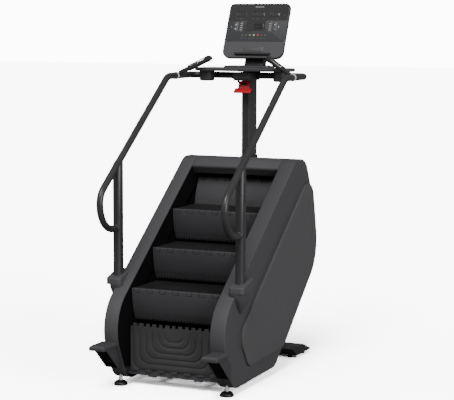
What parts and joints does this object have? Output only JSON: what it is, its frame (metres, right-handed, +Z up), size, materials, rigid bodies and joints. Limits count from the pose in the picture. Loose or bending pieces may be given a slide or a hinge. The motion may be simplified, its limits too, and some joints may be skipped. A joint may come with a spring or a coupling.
{
  "type": "stair climber",
  "caption": "Revolving-step stair climber with moulded side covers, step-on pads, long handrails, a mast with a tray, a stop lever and a console.",
  "frame": {"origin": "on the floor, at the centre of the machine's length and width", "axes": "+Y the way the climber faces, +X to the climber's right, +Z up"},
  "size_m": [0.888, 1.6, 2.2505],
  "materials": {
    "frame_steel": "satin powder coat",
    "foot_black": "satin powder coat",
    "rubber": "matte",
    "levelling_foot": "moulded, with a plated stem",
    "machined_steel": "turned",
    "pulley": "machined",
    "alternator": "satin",
    "belt": "ribbed",
    "chain": "oiled",
    "guide_plastic": "low friction",
    "step_plastic": "fine moulded grain",
    "cover_plastic": "fine moulded grain",
    "panel_plastic": "satin moulded grain",
    "liner": "dark matte",
    "rail_paint": "satin powder coat",
    "ring": "bright",
    "grip_rubber": "ribbed",
    "sensor_chrome": "polished",
    "tray_plastic": "fine moulded grain",
    "lever_red": "glossy",
    "neck_black": "matte",
    "console_shell": "satin",
    "console_glass": "glossy printed overlay"
  },
  "bodies": {
    "frame": {"base_frame": "frame_steel", "side_plate_left": "frame_steel", "side_plate_right": "frame_steel", "rear_stabiliser": "foot_black", "stabiliser_feet": "rubber", "levelling_nuts": "machined_steel", "shaft_bearings": "machined_steel", "alternator": "alternator", "drive_belt": "belt", "chain_left": "chain", "chain_right": "chain", "chain_guides": "guide_plastic", "kick_panel": "step_plastic", "side_cover_left": "cover_plastic", "side_cover_right": "cover_plastic", "side_panel_left": "panel_plastic", "side_panel_right": "panel_plastic", "well_liner_left": "liner", "well_liner_right": "liner", "top_cap": "cover_plastic", "rear_cover": "cover_plastic", "underside_cover": "cover_plastic", "step_pad_left": "cover_plastic", "step_pad_right": "cover_plastic", "post_left": "rail_paint", "post_right": "rail_paint", "collar_left": "cover_plastic", "collar_right": "cover_plastic", "handrail_left": "rail_paint", "handrail_right": "rail_paint", "rail_rings": "ring", "crossbar": "rail_paint", "grip_left": "grip_rubber", "grip_right": "grip_rubber", "sensor_plates": "sensor_chrome", "mast": "rail_paint", "mast_bracket": "frame_steel", "tray": "tray_plastic", "tray_bracket": "tray_plastic", "console_neck": "neck_black", "console_housing": "console_shell", "console_face": "console_glass", "control_box": "neck_black", "power_inlet": "neck_black"},
    "stair_run": {"step_1": "step_plastic", "step_2": "step_plastic", "step_3": "step_plastic", "step_4": "step_plastic"},
    "turning_step": {"step_5": "step_plastic"},
    "return_run": {"step_6": "step_plastic", "step_7": "step_plastic"},
    "upper_drive": {"upper_shaft": "machined_steel", "upper_sprockets": "machined_steel", "drive_pulley": "pulley"},
    "lower_idler": {"lower_shaft": "machined_steel", "lower_sprockets": "machined_steel"},
    "rotor": {"alternator_pulley": "machined_steel"},
    "lever": {"stop_lever": "lever_red"},
    "foot_left": {"levelling_foot_left": "levelling_foot"},
    "foot_right": {"levelling_foot_right": "levelling_foot"}
  },
  "joints": [
    {"name": "stair_travel", "type": "slide", "parent": "frame", "child": "stair_run", "axis": [0, -0.8007, -0.5991], "range_m": [0, 0.055]},
    {"name": "return_travel", "type": "slide", "parent": "frame", "child": "return_run", "axis": [0, 0.8007, 0.5991], "range_m": [0, 0.055]},
    {"name": "turning_step_swing", "type": "hinge", "parent": "frame", "child": "turning_step", "pos_m": [0, -0.33714, 0.415], "axis": [1, 0, 0], "range_deg": [0, 31.52]},
    {"name": "upper_shaft_turn", "type": "hinge", "parent": "frame", "child": "upper_drive", "pos_m": [0, 0.45555, 1.00807], "axis": [1, 0, 0], "range_deg": [0, 31.52]},
    {"name": "lower_shaft_turn", "type": "hinge", "parent": "frame", "child": "lower_idler", "pos_m": [0, -0.33714, 0.415], "axis": [1, 0, 0], "range_deg": [0, 31.52]},
    {"name": "rotor_turn", "type": "hinge", "parent": "frame", "child": "rotor", "pos_m": [0, 0.64, 0.77], "axis": [1, 0, 0], "range_deg": [0, 120.81]},
    {"name": "stop_lever_pull", "type": "hinge", "parent": "frame", "child": "lever", "pos_m": [0, 0.505, 1.757], "axis": [1, 0, 0], "range_deg": [-20, 0], "stiffness_Nm_per_rad": 0.6, "springref_deg": 2.86},
    {"name": "foot_screw_left", "type": "hinge", "parent": "frame", "child": "foot_left", "pos_m": [-0.344, -0.526, 0.03], "axis": [0, 0, 1], "continuous": true},
    {"name": "foot_screw_right", "type": "hinge", "parent": "frame", "child": "foot_right", "pos_m": [0.344, -0.526, 0.03], "axis": [0, 0, 1], "continuous": true}
  ],
  "couplings": [
    {"joint": "return_travel", "follows": "stair_travel", "ratio": 1},
    {"joint": "turning_step_swing", "follows": "stair_travel", "rad_per_m": 10},
    {"joint": "upper_shaft_turn", "follows": "stair_travel", "rad_per_m": 10},
    {"joint": "lower_shaft_turn", "follows": "stair_travel", "rad_per_m": 10},
    {"joint": "rotor_turn", "follows": "stair_travel", "rad_per_m": 38.333}
  ]
}
